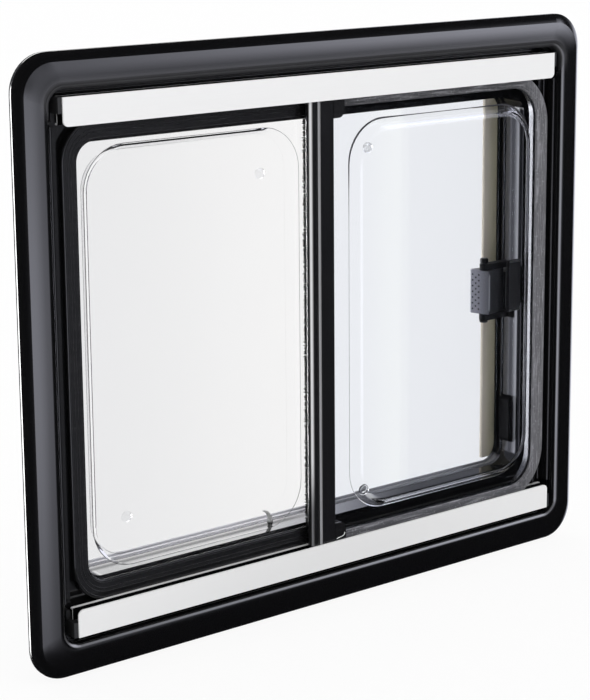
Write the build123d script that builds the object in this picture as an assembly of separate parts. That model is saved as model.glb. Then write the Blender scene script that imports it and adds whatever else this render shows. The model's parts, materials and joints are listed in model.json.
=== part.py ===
"""Sliding caravan window, seen from outside: X right, Y into the wall, Z up, millimetres.

The back of the flange, which lies on the wall, is at Y = 0. Z = 0 is the middle of its bottom strip.
"""
import math
import os

from build123d import *

# Wall and frame
cut_w = 600.0            # width of the hole in the wall
cut_h = 500.0            # height of the hole in the wall
lap = 20.0               # flange lap over the wall, each side
wall_gap = 1.5           # play between spigot and hole, each side
flange_w = 32.0          # face of the flange, outer edge to recess
crest = 12.0             # height of the flange
rim = 3.2                # straight outer side of the flange
r_out = 33.0             # outer corner radius
r_recess = 12.5          # corner radius of the recess
lip_round = 6.5          # roll of the flange into the recess
spigot_depth = 34.0      # how far the spigot enters the wall
let_in = 0.8             # step of the spigot into the flange
ledge_y = 9.0            # recess floor that the fixed pane sits on
ledge_t = 4.0
reveal_depth = 46.0      # back edge of the inner reveal
reveal_wall = 4.0
r_reveal = 18.0
reveal_bead = 1.6        # bead round the back of the reveal
boss_in = 12.0           # screw bosses, in from the side of the recess
boss_r = 5.5
pilot_r = 1.6
boss_rise = 150.0        # screw bosses above and below the middle
rib_t = 3.0
guide_w = 18.0           # beige strip, reach into the opening

# Rails, one extrusion used above and below
rail_gap_x = 10.0        # rail end to recess side
rail_gap_z = 5.0         # rail edge to recess top or bottom
rail_h = 24.5            # height of the front plate
rail_front = -13.5       # front face of the plate
plate_t = 1.5
track = 8.1              # width of the outer track
rail_corner = 5.0        # rounding of the plate on the pane side
lip_back = 0.6           # the middle flange stops short of the plate edge
shelf = 4.2              # turned edge of the middle flange
cap_out = 4.0            # end cap beyond the rail
cap_in = 6.0             # end cap inside the rail
cap_h = 12.0             # end cap, from the web towards the pane
fit_gap = 0.1            # play of parts that are pushed in

# Panes
sheet_t = 2.0            # one acrylic sheet
bond = 0.2               # adhesive between the two sheets
tray_run = 7.0           # slope of the formed wall, across
fixed_tray = 18.0        # depth of the fixed pane's tray
sash_tray = 9.0          # height of the sash's dome
shoulder = 6.0           # rounding of the formed edge
r_tray = 40.0
seat = 0.15              # play of a sheet in its groove, each side
side_band = 15.0         # face of the fixed pane's gasket, at the side
top_band = 19.0          # the same, above and below
r_band = 36.0
r_band_in = 17.5
margin = 8.6             # side gasket to tray
tray_gap = 4.0           # tray to reveal, above and below
sash_side = 15.0         # face of the sash gasket, at the side
sash_band = 16.0         # the same, above and below
border_w = 8.0           # clear border between its side and the dome
strip_in = 4.0           # bright strip on the gasket's back, from its inner edge
strip_t = 1.0
strip_deep = 8.5
r_sash = 52.0
r_sash_in = 30.0
sash_roll = 7.0          # width of the roll of its face towards the pane
slide = 0.6              # play of the sash in the track, each side
track_bite = 8.5         # sash edge behind the rail plate
sash_end = 15.5          # sash to the side of the recess

# Meeting stile, with its left edge left of the middle
stile_left = -25.0
stile_w = 29.0
bar_w = 10.5             # rounded part of the stile
bead_w = 3.6
shoe_w = 12.5
shoe_rise = 23.0
hem = 18.7               # stile to the sash's dome
plug_r = 5.0
plug_t = 1.6

# Latch on the inner face of the sash
latch_z = -1.0           # middle of the grip, from the window's middle
grip_h = 44.0
grip_w = 26.0            # cheek of the grip, across
grip_out = 20.0          # fold of the grip to the base
grip_deep = 19.0         # finger face from the fold into the room
grip_lean = 6.7          # slope of the finger face
ear_t = 6.0
ear_r = 4.5
pin_r = 2.0
pin_play = 0.15
end_play = 0.4
base_w = 16.0
base_t = 5.0
base_h = 51.5
web_t = 3.0              # upright web that carries the ears
base_up = 5.2            # middle of the base above the middle of the grip
base_gap = 6.0           # base to the dome's side

out_w = cut_w + 2 * lap
out_h = cut_h + 2 * lap
zc = cut_h / 2 + lap / 2
rec_w = out_w - 2 * flange_w
rec_h = out_h - 2 * flange_w
rail_len = rec_w - 2 * rail_gap_x
rail_out = rec_h / 2 - rail_gap_z
rail_in = rail_out - rail_h
mid_y = rail_front + plate_t + track
sash_front = rail_front + plate_t + slide
sash_back = mid_y - slide
pane_t = 2 * sheet_t + bond
fix_front = mid_y + shelf + 0.4
fix_half = rail_in + 3.0
fix_left = -rec_w / 2 + side_band
fix_right = stile_left + stile_w - 2.0
fix_y = ledge_y - (ledge_y - fix_front - pane_t) / 2 - pane_t
reveal_w = -2 * (fix_left + side_band)
reveal_h = 2 * (fix_half - top_band) - 3.0
tray_half = reveal_h / 2 - tray_gap
sash_half = rail_in + track_bite
sash_right = rec_w / 2 - sash_end
sash_y = sash_back - 0.5 - pane_t
stile_right = stile_left + stile_w

os.makedirs("parts", exist_ok=True)


def face_plane(y):
    """Plane at depth y, drawn as seen from outside."""
    return Plane(origin=(0, y, zc), x_dir=(1, 0, 0), z_dir=(0, -1, 0))


def plan(z):
    """Plane at height z from the window's middle, drawn as seen from above."""
    return Plane(origin=(0, 0, zc + z), x_dir=(1, 0, 0), z_dir=(0, 0, 1))


def block(sketch, front, back):
    """Sketch drawn from outside, given the depth between two Y values."""
    return extrude(face_plane(back) * sketch, back - front)


def panel(x0, x1, half, r):
    """Rounded rectangle between two X values, centred in height."""
    return Pos((x0 + x1) / 2, 0) * RectangleRounded(x1 - x0, 2 * half, r)


def patch(x0, x1, z0, z1):
    """Plain rectangle between X and Z values."""
    return Pos((x0 + x1) / 2, (z0 + z1) / 2) * Rectangle(x1 - x0, z1 - z0)


def bar(x0, x1, y0, y1, z0, z1):
    """Plain block between limits; heights from the window's middle."""
    return block(patch(x0, x1, z0, z1), y0, y1)


def both_ends(shape):
    """The shape and its mirror image in the window's upright middle plane."""
    return shape + mirror(shape, about=Plane.YZ)


def upside(shape):
    """Mirror image in the window's level middle plane."""
    return mirror(shape, about=Plane.XY.offset(zc))


def save(shape, name):
    """One file for each piece; a piece may be several solids that do not touch."""
    solids = shape.solids()
    body = solids[0] if len(solids) == 1 else Compound(children=list(solids))
    body.label = name
    export_step(body, os.path.join("parts", name + ".step"))
    print(name, len(solids))


def rings(rows):
    """Loft of the flange: each row is the way in from the outer edge and the height, as shares."""
    out = []
    for share, rise in rows:
        inset = 2 * share * flange_w
        r = r_out + (r_recess - r_out) * share
        out.append(face_plane(-rise * crest) * RectangleRounded(out_w - inset, out_h - inset, r))
    return loft(out)


def flange():
    """A round shoulder rises from the rim; a broad face then swells to the crest and rolls inwards."""
    edge = rim / crest
    body = block(RectangleRounded(out_w, out_h, r_out), -rim, 0)
    body += rings([(0, edge), (0.06, 0.42), (0.15, 0.62), (0.255, 0.8)])
    body += rings([(0.255, 0.8), (0.39, 0.878), (0.53, 0.938), (0.66, 0.978), (0.78, 1)])
    body -= block(RectangleRounded(rec_w, rec_h, r_recess), -2 * crest, 1)
    mouth = [e for e in body.edges().group_by(Axis.Y)[0] if within(e, rec_w, rec_h)]
    return fillet(mouth, lip_round)


def within(e, w, h):
    """True for an edge inside a rectangle round the window's middle."""
    b = e.bounding_box()
    wide = max(-b.min.X, b.max.X)
    high = max(zc - b.min.Z, b.max.Z - zc)
    return wide < w / 2 + 0.1 and high < h / 2 + 0.1


def frame():
    """One moulding in five simple pieces: flange, spigot, ledge with reveal, ribs, screw bosses."""
    spig_w = cut_w - 2 * wall_gap
    spig_h = cut_h - 2 * wall_gap
    recess = RectangleRounded(rec_w, rec_h, r_recess)
    # the spigot is let into the flange, so that only the lap is left as the flange's flat back
    tube = RectangleRounded(spig_w, spig_h, r_out - lap)
    save(flange() - block(tube, -let_in, 1), "frame_flange")
    save(block(tube, -let_in, spigot_depth) - block(recess, -1, spigot_depth + 1), "frame_spigot")
    edge = 2 * reveal_wall
    f = block(recess, ledge_y, ledge_y + ledge_t)
    sleeve = RectangleRounded(reveal_w + edge, reveal_h + edge, r_reveal + reveal_wall)
    f += block(sleeve, ledge_y, reveal_depth)
    f -= block(RectangleRounded(reveal_w, reveal_h, r_reveal), -1, reveal_depth + 1)
    # two low beads round the reveal, one at its back edge
    b = reveal_bead
    hoop = RectangleRounded(reveal_w + 1, reveal_h + 1, r_reveal + 0.5)
    eye = RectangleRounded(reveal_w - 2 * b, reveal_h - 2 * b, r_reveal - b)
    for y in (reveal_depth - b, reveal_depth - 6 * b):
        ring = block(hoop, y - b, y + b) - block(eye, y - b - 1, y + b + 1)
        sides = ring.edges().group_by(Axis.Y)
        f += fillet([e for e in sides[0] + sides[-1] if within(e, reveal_w - b, reveal_h)], 0.8 * b)
    save(f, "frame_reveal")
    x0, x1 = reveal_w / 2 + reveal_wall, rec_w / 2
    z0, z1 = reveal_h / 2 + reveal_wall, rec_h / 2
    front, deep = ledge_y + ledge_t, spigot_depth - 8.0
    ribs, bosses = [], []
    for s in (-1, 1):
        for share in (-0.36, -0.12, 0.12, 0.36):
            web = Pos(s * (x0 + x1) / 2, share * reveal_h) * Rectangle(x1 - x0, rib_t)
            ribs.append(block(web, front, deep))
        for share in (-0.4, -0.2, 0, 0.2, 0.4):
            web = Pos(share * reveal_w, s * (z0 + z1) / 2) * Rectangle(rib_t, z1 - z0)
            ribs.append(block(web, front, deep))
        for t in (-1, 1):
            ring = Pos(s * (rec_w / 2 - boss_in), t * boss_rise) * (Circle(boss_r) - Circle(pilot_r))
            bosses.append(block(ring, front, spigot_depth))
    save(Compound(children=ribs), "frame_ribs")
    save(Compound(children=bosses), "frame_screw_bosses")


def rail():
    """Extruded rail: broad front plate, middle flange with a turned edge, low rear flange."""
    back = rail_front + plate_t
    web = rail_h - plate_t
    rear = ledge_y - plate_t
    low = fix_half - rail_in + 0.8
    pts = [(rail_front, 0), (rail_front, rail_h), (ledge_y, rail_h), (ledge_y, low), (rear, low), (rear, web),
           (mid_y + plate_t, web), (mid_y + plate_t, lip_back + plate_t), (mid_y + shelf, lip_back + plate_t),
           (mid_y + shelf, lip_back), (mid_y, lip_back), (mid_y, web), (back, web), (back, 0)]
    start = Plane(origin=(-rail_len / 2, 0, zc + rail_in), x_dir=(0, 1, 0), z_dir=(1, 0, 0))
    r = extrude(start * make_face(Polyline(pts, close=True)), rail_len)
    nose = [e for e in r.edges().filter_by(Axis.X) if e.center().Z < zc + rail_in + lip_back + 0.1
            and e.center().Y > mid_y - 0.1 and e.center().Y < mid_y + 0.1]
    r = fillet(nose, 0.4 * plate_t)
    ends = [e for e in r.edges().filter_by(Axis.Y)
            if e.center().Y < back and e.center().Z < zc + rail_in + 0.1]
    return fillet(ends, rail_corner)


def end_caps():
    """Moulded caps that close the two ends of the upper rail, with a sloped cheek."""
    x0, x1 = rail_len / 2 - cap_in, rail_len / 2 + cap_out
    web = rail_out - plate_t - fit_gap
    plugs_in = None
    for y0, y1 in ((rail_front + plate_t, mid_y), (mid_y + plate_t, ledge_y - plate_t)):
        core = bar(x0, x1, y0 + fit_gap, y1 - fit_gap, web - cap_h, web)
        plugs_in = core if plugs_in is None else plugs_in + core
    cheek = bar(rail_len / 2 + fit_gap, x1, rail_front + plate_t, ledge_y - fit_gap, web - cap_h, rail_out)
    low = [e for e in cheek.edges().filter_by(Axis.X) if e.center().Y < mid_y and e.center().Z < zc + web - 1]
    tail = bar(rail_len / 2 + fit_gap, x1, mid_y + shelf + 0.4, ledge_y - fit_gap, fix_half + 0.4, rail_out)
    return both_ends(plugs_in + chamfer(low, 0.5 * cap_h) + tail)


def formed(border, x0, x1, y, depth, way):
    """Acrylic sheet with a flat border and a drafted, rounded tray blown out of it, towards way on Y."""
    base = Plane(origin=(0, y, zc), x_dir=(1, 0, 0), z_dir=(0, way, 0))
    draft = math.degrees(math.atan(tray_run / depth))
    t = sheet_t
    outer = extrude(base * panel(x0, x1, tray_half, r_tray), depth, taper=draft)
    inner = extrude(base.offset(-t) * panel(x0 + t, x1 - t, tray_half - t, r_tray - t), depth, taper=draft)
    end = 0 if way < 0 else -1
    outer = fillet(outer.faces().sort_by(Axis.Y)[end].edges(), shoulder)
    inner = fillet(inner.faces().sort_by(Axis.Y)[end].edges(), shoulder - 1.4)
    return extrude(base.offset(-t) * border, t) + outer - inner


def gasket(outer, inner, front, back, sheets, y0, roll):
    """Rubber gripping the edge of a pane: rolled face, groove for the two sheets."""
    ring = block(outer, front, back) - block(inner, front - 1, back + 1)
    ring = fillet(ring.edges().group_by(Axis.Y)[0], roll)
    return ring - block(sheets, y0 - seat, y0 + pane_t + seat)


def swell(x0, x1, half, r, front, depth):
    """Mouth that widens towards the front in a soft roll, to cut from a gasket's face."""
    steps = []
    for share, out in ((-0.15, 1.25), (0, 1), (0.3, 0.45), (0.65, 0.15), (1, 0)):
        w = out * sash_roll
        steps.append(face_plane(front + share * depth) * panel(x0 - w, x1 + w, half + w, r + w))
    return loft(steps)


def plugs(spots, y):
    """Small round vent plugs with a domed head inside a rim, just off a sheet's face at y."""
    r, t = plug_r, plug_t
    prof = make_face(Polyline([(0, 0), (r, 0), (r, 0.7 * t), (0.86 * r, t), (0.7 * r, t), (0.6 * r, 0.5 * t),
                               (0.3 * r, 0.8 * t), (0, 0.85 * t)], close=True))
    out = None
    for x, z in spots:
        seat_plane = Plane(origin=(x, y - fit_gap, zc + z), x_dir=(1, 0, 0), z_dir=(0, 0, 1))
        head = revolve(seat_plane * mirror(prof, about=Plane.XZ), axis=Axis((x, y, zc + z), (0, 1, 0)))
        out = head if out is None else out + head
    return out


def fixed_pane():
    """Left pane: flat sheet outside, tray bulging into the room, gasket on three sides."""
    grip = 0.5 * side_band
    stop = patch(fix_left - 1, fix_right, -fix_half - 1, fix_half + 1)
    border = panel(fix_left + grip, fix_right + 90, fix_half - grip, r_band - grip) & stop
    room = panel(fix_left + grip - seat, fix_right + 90, fix_half - grip + seat, r_band - grip)
    x0 = fix_left + side_band + margin
    x1 = stile_left + 2.0
    save(block(border, fix_y, fix_y + sheet_t), "fixed_pane_flat_sheet")
    save(formed(border, x0, x1, fix_y + pane_t, fixed_tray, 1), "fixed_pane_tray_sheet")
    cut = patch(fix_left - 1, stile_left + 5.0, -fix_half - 1, fix_half + 1)
    outer = panel(fix_left, fix_right + 90, fix_half, r_band) & cut
    inner = panel(fix_left + side_band, fix_right + 120, fix_half - top_band, r_band_in)
    save(gasket(outer, inner, fix_front, ledge_y, room, fix_y, 1.5), "fixed_pane_gasket")
    spots = [(x1 - 46.9, tray_half - 39.5), (x0 + 31.5, 46.5 - tray_half)]
    save(plugs(spots, fix_y), "fixed_pane_plugs")
    # black channel on the pane's right edge, behind the stile
    edge = bar(stile_left + 5.2, fix_right + 1.5, fix_front, ledge_y, -fix_half, fix_half)
    far = fix_half + 1
    slot = bar(stile_left + 5.0, fix_right + fit_gap, fix_y - seat, fix_y + pane_t + seat, -far, far)
    far = fix_half - grip
    mouth = bar(stile_left + 5.0, fix_right - 8.0, fix_front - 1, ledge_y + 1, -far, far)
    save(edge - slot - mouth, "fixed_pane_edge_channel")


def sash():
    """Right pane: dome bulging outside, flat sheet inside, gasket on three sides, stile on the fourth."""
    grip = 0.5 * sash_band
    left = stile_right - 10.0
    start = stile_right + shoe_w
    x0 = stile_right + hem
    x1 = sash_right - sash_side - border_w
    far = 2 * r_sash
    keep = patch(left, sash_right + 1, -sash_half - 1, sash_half + 1)
    border = panel(left - far, sash_right - grip, sash_half - grip, r_sash - grip) & keep
    room = panel(left - far, sash_right - grip + seat, sash_half - grip + seat, r_sash - grip)
    save(block(border, sash_y + sheet_t + bond, sash_y + pane_t), "sash_flat_sheet")
    save(formed(border, x0, x1, sash_y, sash_tray, -1), "sash_dome_sheet")
    tail = patch(start, sash_right + 1, -sash_half - 1, sash_half + 1)
    outer = panel(left - far, sash_right, sash_half, r_sash) & tail
    inner = panel(left - far, sash_right - sash_side, sash_half - sash_band, r_sash_in)
    rubber = block(outer, sash_front, sash_back)
    rubber = fillet(rubber.edges().group_by(Axis.Y)[0].filter_by(lambda e: e.center().X > start + 1), 1.5)
    rubber -= block(inner, sash_front - 1, sash_back + 1)
    clear_x, clear_z = sash_right - sash_side, sash_half - sash_band
    rubber -= swell(left - far, clear_x, clear_z, r_sash_in, sash_front, sash_y - sash_front)
    save(rubber - block(room, sash_y - seat, sash_y + pane_t + seat), "sash_gasket")
    # bright strip that stiffens the closing edge, on the gasket's back and round the corners
    edge_x, edge_z, r = clear_x + strip_in, clear_z + strip_in, r_sash_in + strip_in
    hoop = panel(left - far, edge_x, edge_z, r)
    hoop -= panel(left - far, edge_x - strip_t, edge_z - strip_t, r - strip_t)
    hoop &= patch(edge_x - 0.7 * r_sash_in, sash_right, -sash_half, sash_half)
    save(block(hoop, sash_back + fit_gap, sash_back + fit_gap + strip_deep), "sash_edge_strip")
    spots = [(x0 + 22.8, tray_half - 26.2), (x0 + 18.0, 20.5 - tray_half)]
    save(plugs(spots, sash_y + sheet_t + bond), "sash_plugs")
    stile(left)
    shoes(start)
    far = reveal_h / 2 - 2
    save(bar(stile_left + 5.0, stile_left + 11.0, sash_back, fix_y - 0.3, -far, far), "stile_brush")


def stile(left):
    """Meeting stile: rounded bar, bead and a flat band that grips the sash's left edge."""
    a = stile_left
    b = a + bar_w
    deep = sash_back - sash_front
    prof = Pos(a + bar_w / 2, sash_front + deep / 2) * RectangleRounded(bar_w, deep, 3.0)
    band = stile_right - b + 2
    prof += Pos(stile_right - band / 2, sash_front + 0.25 + deep / 2) * Rectangle(band, deep - 0.5)
    prof += Pos(b + bead_w / 2, sash_front + bead_w / 2) * Circle(bead_w / 2)
    room = stile_right - left + 5
    prof -= Pos(left - seat + room / 2, sash_y + pane_t / 2) * Rectangle(room, pane_t + 2 * seat)
    save(extrude(plan(-sash_half) * prof, 2 * sash_half), "sash_stile")


def shoes(start):
    """Slide shoes at the stile's foot and head, running on the webs of the rails."""
    low = -rail_out + plate_t + 0.3
    top = -rail_in + shoe_rise - 6
    s = bar(stile_right + fit_gap, start - fit_gap, sash_front, sash_back, low, top)
    tip = [e for e in s.edges().filter_by(Axis.Y) if e.center().X > start - 1 and e.center().Z > zc + top - 1]
    s = fillet(tip, 7.0)
    edge = sash_half - sash_band / 2 + seat
    s -= bar(stile_right - 1, start + 1, sash_y - seat, sash_y + pane_t + seat, -edge, 0)
    save(s + upside(s), "sash_slide_shoes")


def latch():
    """Latch on the sash: base with two ears, folded grip on an upright pin, keeper on the jamb."""
    face = sash_y + pane_t
    x_base = sash_right - sash_side - border_w - base_gap
    x_left = x_base - base_w
    x_fold, y_fold = x_left - grip_out, face + 7.5
    x_pin, y_pin = x_fold + 0.8, y_fold + 0.42 * grip_deep
    up, low = latch_z + grip_h / 2 + end_play, latch_z - grip_h / 2 - end_play
    mid = latch_z + base_up
    b = bar(x_left, x_base, face, face + base_t, mid - base_h / 2, mid + base_h / 2)
    b = fillet(b.edges().filter_by(Axis.Z), 2.0)
    b = fillet(b.edges().group_by(Axis.Y)[0], 0.8)
    x_web = x_base - base_w / 4
    b += bar(x_web - web_t, x_web, face + base_t - 1, y_pin + ear_r, low - ear_t, up + ear_t)
    for z in (low - ear_t, up):
        b += bar(x_pin, x_web, y_pin - ear_r, y_pin + ear_r, z, z + ear_t)
        b += extrude(plan(z) * (Pos(x_pin, y_pin) * Circle(ear_r)), ear_t)
    shaft = plan(latch_z - base_h) * (Pos(x_pin, y_pin) * Circle(pin_r + 0.05))
    save(b - extrude(shaft, 2 * base_h), "latch_base")
    # plan of the grip: fold near the pane, finger face to the left and back, cheek to the right and back
    right = x_fold + grip_w
    tip_x, tip_y = x_fold - grip_lean, y_fold + grip_deep
    outline = [(x_fold, y_fold), (right, y_fold + 0.25 * grip_w), (right, y_fold + 0.42 * grip_w),
               (x_fold + 0.42 * grip_w, y_fold + 0.68 * grip_deep), (x_fold + 0.16 * grip_w, tip_y + 1.5),
               (tip_x + 2, tip_y + 3), (tip_x, tip_y)]
    plate = fillet(make_face(Polyline(outline, close=True)).vertices(), 1.2)
    g = extrude(plan(low + end_play) * plate, grip_h)
    g = fillet(g.faces().sort_by(Axis.Z)[-1].edges() + g.faces().sort_by(Axis.Z)[0].edges(), 0.8)
    play = plan(low) * (Pos(x_pin, y_pin) * Circle(pin_r + pin_play))
    save(g - extrude(play, up - low), "latch_grip")
    pin = plan(low - ear_t - 2) * (Pos(x_pin, y_pin) * Circle(pin_r))
    rod = extrude(pin, up - low + 2 * ear_t + 4)
    save(fillet(rod.edges(), 0.6), "latch_pin")
    wall = reveal_w / 2
    k = bar(wall - 3, wall, ledge_y + 3, ledge_y + 20, latch_z - 20, latch_z + 20)
    save(fillet(k.edges().filter_by(Axis.X), 3.0), "latch_keeper")


def trim():
    """Strips and small fittings at the jambs and the sill."""
    half = rail_in - 1.5
    wide = side_band - 2.5
    for s, name in ((-1, "jamb_strip_left"), (1, "jamb_strip_right")):
        deep = 15.0 if s > 0 else 10.0
        foot = Pos(rec_w / 2 - wide / 2, ledge_y - 2.0) * Rectangle(wide, 4.0)
        foot += Pos(rec_w / 2 - 2.0, ledge_y - deep / 2) * RectangleRounded(4.0, deep, 1.8)
        foot += Pos(rec_w / 2 - 7.2, ledge_y - 4.6) * Circle(1.5)
        if s < 0:
            foot = mirror(foot, about=Plane.YZ)
        else:
            # soft lip that the closed sash meets
            lip_x, lip_y = sash_right - 4.5, sash_back + slide
            reach = rec_w / 2 - lip_x + 2.0
            foot += Pos((rec_w - reach) / 2, ledge_y - 2.0) * Rectangle(reach, 4.0)
            foot += Pos(lip_x, (lip_y + ledge_y) / 2) * RectangleRounded(4.0, ledge_y - lip_y, 1.5)
        save(extrude(plan(-half) * foot, 2 * half), name)
    for s, name in ((-1, "guide_strip_left"), (1, "guide_strip_right")):
        a, b = sorted((s * (reveal_w / 2 - guide_w), s * (reveal_w / 2 + reveal_wall)))
        g = bar(a, b, reveal_depth, reveal_depth + 4, -reveal_h / 2 + 4, reveal_h / 2 - 4)
        nose = [e for e in g.edges().filter_by(Axis.Z) if abs(e.center().X) < reveal_w / 2 - 1]
        save(fillet(nose, 1.6), name)
    wall = reveal_w / 2
    floor = -reveal_h / 2
    back = reveal_depth - 8 * reveal_bead
    stop = bar(wall - 6, wall, back - 14, back, floor + 24, floor + 72)
    stop = fillet([e for e in stop.edges().filter_by(Axis.Y) if e.center().X < wall - 1], 5.0)
    save(stop, "jamb_stop")
    curve = [Line((0, 0), (14, 0)), Line((14, 0), (13, 4)), ThreePointArc((13, 4), (8.5, 6.5), (6.5, 13)),
             ThreePointArc((6.5, 13), (2.2, 8), (0, 0))]
    fin = make_face(Wire(curve))
    save(block(Pos(stile_left - 27.0, floor) * fin, back - 6, back), "sill_clip")


top_rail = rail()
caps = end_caps()
frame()
save(top_rail, "top_rail")
save(upside(top_rail), "bottom_rail")
save(caps, "top_rail_end_caps")
save(upside(caps), "bottom_rail_end_caps")
fixed_pane()
sash()
latch()
trim()
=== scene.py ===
# %% [markdown]
# # A sliding caravan window
# The window is already modelled as solids. This lesson loads them, gives every piece its finish, adds the
# fine parts that are too small for solids, and lights the whole in a plain studio. X runs to the right seen
# from outside, Y through the wall into the room, Z up, and the unit is the metre.

# %% Load the solids
import json
import math
import random

import bpy
import bmesh
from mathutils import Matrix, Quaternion, Vector


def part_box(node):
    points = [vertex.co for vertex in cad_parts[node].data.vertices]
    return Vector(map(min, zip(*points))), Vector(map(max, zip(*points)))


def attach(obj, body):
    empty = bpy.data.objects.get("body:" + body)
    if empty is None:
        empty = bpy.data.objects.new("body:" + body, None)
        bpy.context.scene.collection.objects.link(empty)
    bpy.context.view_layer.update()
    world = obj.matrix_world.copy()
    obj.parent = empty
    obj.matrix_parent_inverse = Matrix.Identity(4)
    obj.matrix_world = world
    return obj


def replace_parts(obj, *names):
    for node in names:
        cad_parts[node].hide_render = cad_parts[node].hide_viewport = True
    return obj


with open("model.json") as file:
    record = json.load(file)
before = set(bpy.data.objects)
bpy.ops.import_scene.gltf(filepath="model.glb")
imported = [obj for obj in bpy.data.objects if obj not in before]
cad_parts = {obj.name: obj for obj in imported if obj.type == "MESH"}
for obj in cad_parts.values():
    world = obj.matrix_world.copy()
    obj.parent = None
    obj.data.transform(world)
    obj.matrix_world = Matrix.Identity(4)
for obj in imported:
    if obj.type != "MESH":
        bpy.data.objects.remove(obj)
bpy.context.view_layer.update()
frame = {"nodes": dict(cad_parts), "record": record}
solids = frame["nodes"]
scene = bpy.context.scene
MM = 0.001
MIDDLE = 0.26  # height of the window's middle

# %% [markdown]
# ## Camera
# The photograph was taken from the left and a little above, with upright edges kept nearly parallel. A
# pitched camera with a small downward shift comes close to that and keeps the window inside the picture from
# other sides too. Its place, turn and focal length were fitted to the corners of the frame and the rails, and
# the shift to the height of the whole. The sensor is 36 mm along the image's longer side.

# %% Camera
IMAGE = (590, 700)
FOCAL_PX, SENSOR = 1961.05, 36.0
STAND = (-1.0844686, -1.391722, 0.6820528)
YAW, PITCH, ROLL = 0.6472, -0.196, -0.0083
lens = bpy.data.cameras.new("camera")
lens.sensor_fit, lens.sensor_width = "AUTO", SENSOR
lens.lens = SENSOR * FOCAL_PX / max(IMAGE)
lens.shift_y = -0.1464
lens.clip_start, lens.clip_end = 0.01, 60.0
camera = bpy.data.objects.new("camera", lens)
scene.collection.objects.link(camera)
ahead = Vector((math.sin(YAW) * math.cos(PITCH), math.cos(YAW) * math.cos(PITCH), math.sin(PITCH)))
camera.location = STAND
camera.rotation_mode = "QUATERNION"
camera.rotation_quaternion = ahead.to_track_quat("-Z", "Y") @ Quaternion((0, 0, 1), ROLL)
scene.camera = camera
scene.view_settings.view_transform = "Standard"
print("camera", round(lens.lens, 2), "mm")

# %% [markdown]
# ## Sums on sockets
# A finish is a small set of nodes. Writing them one by one hides the idea, so a wrapped socket takes Python's
# own operators: 1 - mask adds a Math node by itself. The sign | keeps the larger of two values and & the
# smaller. Most masks are soft steps along one measure, so three short methods give a rise, a fall and a band.


# %% Sums on sockets
class Wire:
    """An output socket that does sums."""

    def __init__(self, owner, socket):
        self.owner, self.socket = owner, socket

    def sum(self, operation, first, second=0.0):
        return self.owner.node("ShaderNodeMath", {"operation": operation}, {0: first, 1: second})

    def __add__(self, other):
        return self.sum("ADD", self, other)

    def __sub__(self, other):
        return self.sum("SUBTRACT", self, other)

    def __rsub__(self, other):
        return self.sum("SUBTRACT", other, self)

    def __mul__(self, other):
        return self.sum("MULTIPLY", self, other)

    def __pow__(self, other):
        return self.sum("POWER", self, other)

    def __or__(self, other):
        return self.sum("MAXIMUM", self, other)

    def __and__(self, other):
        return self.sum("MINIMUM", self, other)

    __radd__, __rmul__ = __add__, __mul__

    def size(self):
        """The value without its sign."""
        return self.sum("ABSOLUTE", self)

    def rise(self, low, high, first=0.0, last=1.0):
        """Smooth step from first to last while the value goes from low to high."""
        return self.owner.node("ShaderNodeMapRange", {"interpolation_type": "SMOOTHSTEP"},
                               {0: self, 1: low, 2: high, 3: first, 4: last})

    def fall(self, low, high):
        """Smooth step from 1 down to 0."""
        return self.rise(low, high, 1.0, 0.0)

    def band(self, a, b, c, d):
        """A rise from a to b and a fall from c to d."""
        return self.rise(a, b) * self.fall(c, d)


print("sums ready:", Wire.__doc__)

# %% [markdown]
# ## Node trees
# Every node that isn't a sum comes from one method, which takes its type, its settings and what goes into its
# sockets. Colours are blended with a Mix node, because a Math node would turn them grey. Patterns are placed
# by object coordinates. These are metres here, so a pattern has its true scale and stays on its piece from
# every side.


# %% Node trees
class Nodes:
    """A node tree with one method that adds any node."""

    def __init__(self, tree):
        self.tree = tree
        tree.nodes.clear()

    def feed(self, socket, value):
        """Link a wire to a socket, or set a plain value; a colour gets its alpha here."""
        if isinstance(value, Wire):
            self.tree.links.new(value.socket, socket)
        else:
            socket.default_value = (*value, 1.0) if socket.type == "RGBA" else value

    def node(self, kind, settings=None, sockets=None, out=0):
        made = self.tree.nodes.new(kind)
        for key, value in (settings or {}).items():
            setattr(made, key, value)
        for key, value in (sockets or {}).items():
            self.feed(made.inputs[key], value)
        return Wire(self, made.outputs[out])

    def place(self, *stretch):
        """Where the point lies on the object, in metres, stretched along its axes."""
        spot = self.node("ShaderNodeTexCoord", out="Object")
        if not stretch:
            return spot
        return self.node("ShaderNodeVectorMath", {"operation": "MULTIPLY"}, {0: spot, 1: stretch})

    def axis(self, letter):
        return self.node("ShaderNodeSeparateXYZ", None, {0: self.place()}, letter)

    def noise(self, scale, detail=2.0, rough=0.5, stretch=()):
        """Soft noise round one half, with about scale grains to the metre."""
        sockets = {"Vector": self.place(*stretch), "Scale": scale, "Detail": detail, "Roughness": rough}
        return self.node("ShaderNodeTexNoise", None, sockets)

    def blend(self, share, first, last):
        """The colour at a share of the way from first to last."""
        return self.node("ShaderNodeMix", {"data_type": "RGBA"}, {0: share, 6: first, 7: last}, 2)

    def ray(self, fact):
        """A fact about the ray that arrives, such as how often it was bent."""
        return self.node("ShaderNodeLightPath", out=fact)


print("trees ready:", Nodes.__doc__)

# %% [markdown]
# ## Finishes
# A finish is a node tree with one Principled shader, which can be plastic, metal or acrylic. What is the same
# all over the surface is set on the shader's own sockets when the finish is made. What changes over the
# surface is given afterwards, and fine relief goes through a Bump node.


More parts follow.
